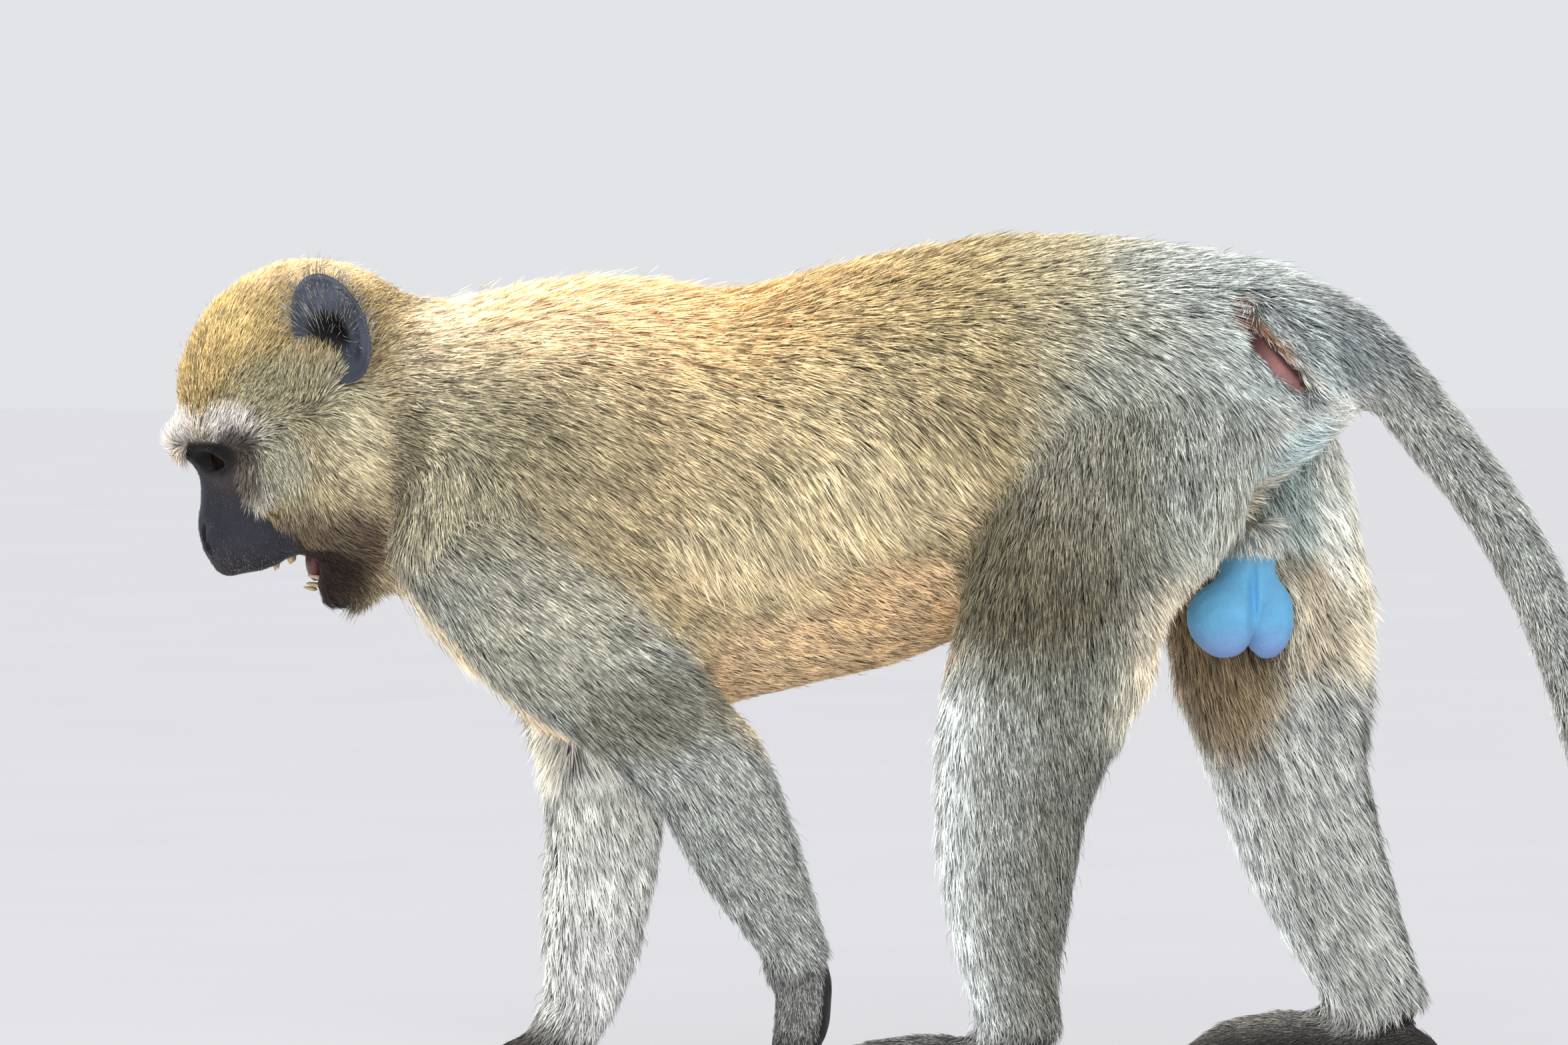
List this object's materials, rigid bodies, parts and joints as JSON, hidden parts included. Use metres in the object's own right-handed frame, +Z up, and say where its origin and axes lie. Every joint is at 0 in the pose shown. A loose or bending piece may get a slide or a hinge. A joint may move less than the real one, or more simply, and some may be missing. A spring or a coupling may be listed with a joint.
{
  "type": "vervet monkey model",
  "caption": "A still life-size vervet monkey in mid-stride with a lowered head, an open mouth and a long hanging tail",
  "frame": {"origin": "bottom centre of the bounding box, on the floor that the hands and feet stand on", "axes": "+X points backwards to the tail, so the face looks to -X; +Y is the monkey's right side; +Z is up"},
  "size_m": [0.8518, 0.1712, 0.3504],
  "materials": {
    "olive_coat": "soft short fur, golden olive speckled with black",
    "grey_coat": "soft short fur, salt-and-pepper grey",
    "pale_coat": "soft fur, cream",
    "dark_skin": "bare slate-black skin",
    "blue_skin": "bare wrinkled skin, bright blue",
    "pink_skin": "moist pink skin",
    "eye": "glossy dark brown eye"
  },
  "bodies": {
    "root": {"head": "olive_coat", "jaw": "pale_coat", "tongue": "pink_skin", "ear_left": "dark_skin", "ear_right": "dark_skin", "eye_left": "eye", "eye_right": "eye", "neck": "olive_coat", "chest": "olive_coat", "belly": "olive_coat", "rump": "grey_coat", "scrotum": "blue_skin", "tail_root": "grey_coat", "tail_upper": "grey_coat", "tail_middle": "grey_coat", "tail_tip": "grey_coat", "upper_arm_left": "grey_coat", "forearm_left": "grey_coat", "hand_left": "dark_skin", "thigh_left": "grey_coat", "shank_left": "grey_coat", "foot_left": "dark_skin", "upper_arm_right": "grey_coat", "forearm_right": "grey_coat", "hand_right": "dark_skin", "thigh_right": "grey_coat", "shank_right": "grey_coat", "foot_right": "dark_skin"}
  },
  "joints": []
}
